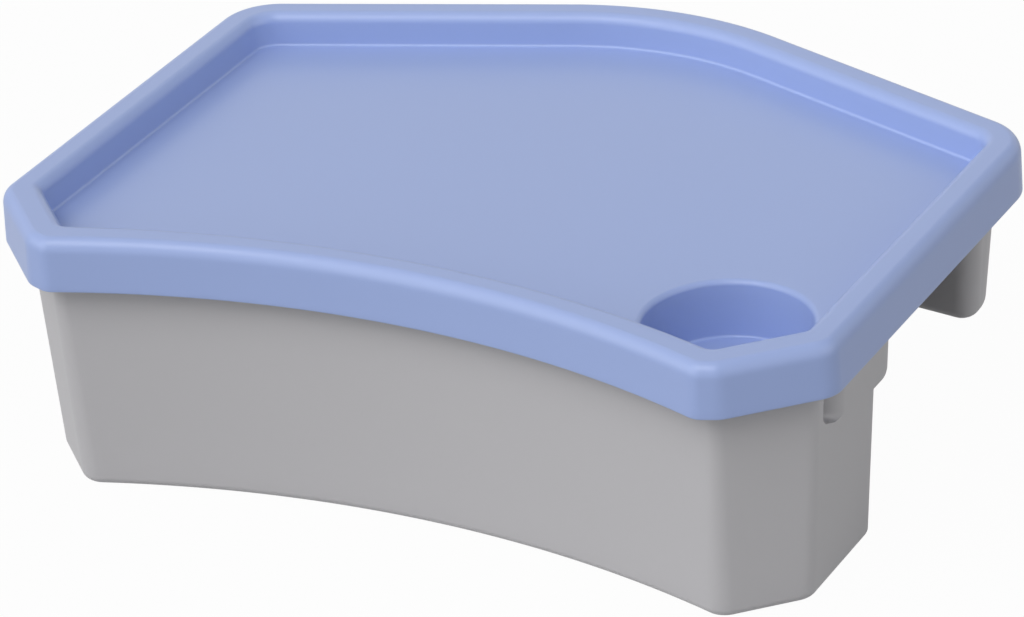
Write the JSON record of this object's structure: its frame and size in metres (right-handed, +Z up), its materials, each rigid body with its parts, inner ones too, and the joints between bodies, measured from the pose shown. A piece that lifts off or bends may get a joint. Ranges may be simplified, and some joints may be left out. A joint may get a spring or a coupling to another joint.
{
  "type": "walker caddy tray",
  "caption": "Moulded caddy for a walking frame: lift-off tray with a raised rim and a cup recess, over a deep storage tub with a channel for the crossbar and a rear pocket.",
  "frame": {"origin": "under the middle of the caddy, on the surface that the tub's deep compartment stands on", "axes": "+X to the user's right along the width, +Y away from the user, +Z up"},
  "size_m": [0.47, 0.3698, 0.1507],
  "materials": {
    "tray_plastic": "pale blue moulded plastic, satin",
    "tub_plastic": "mid grey moulded plastic, satin"
  },
  "bodies": {
    "tub": {"tub": "tub_plastic"},
    "tray": {"tray": "tray_plastic"}
  },
  "joints": [
    {"name": "tray_lift", "type": "slide", "parent": "tub", "child": "tray", "axis": [0, 0, 1], "range_m": [0, 0.12]}
  ]
}
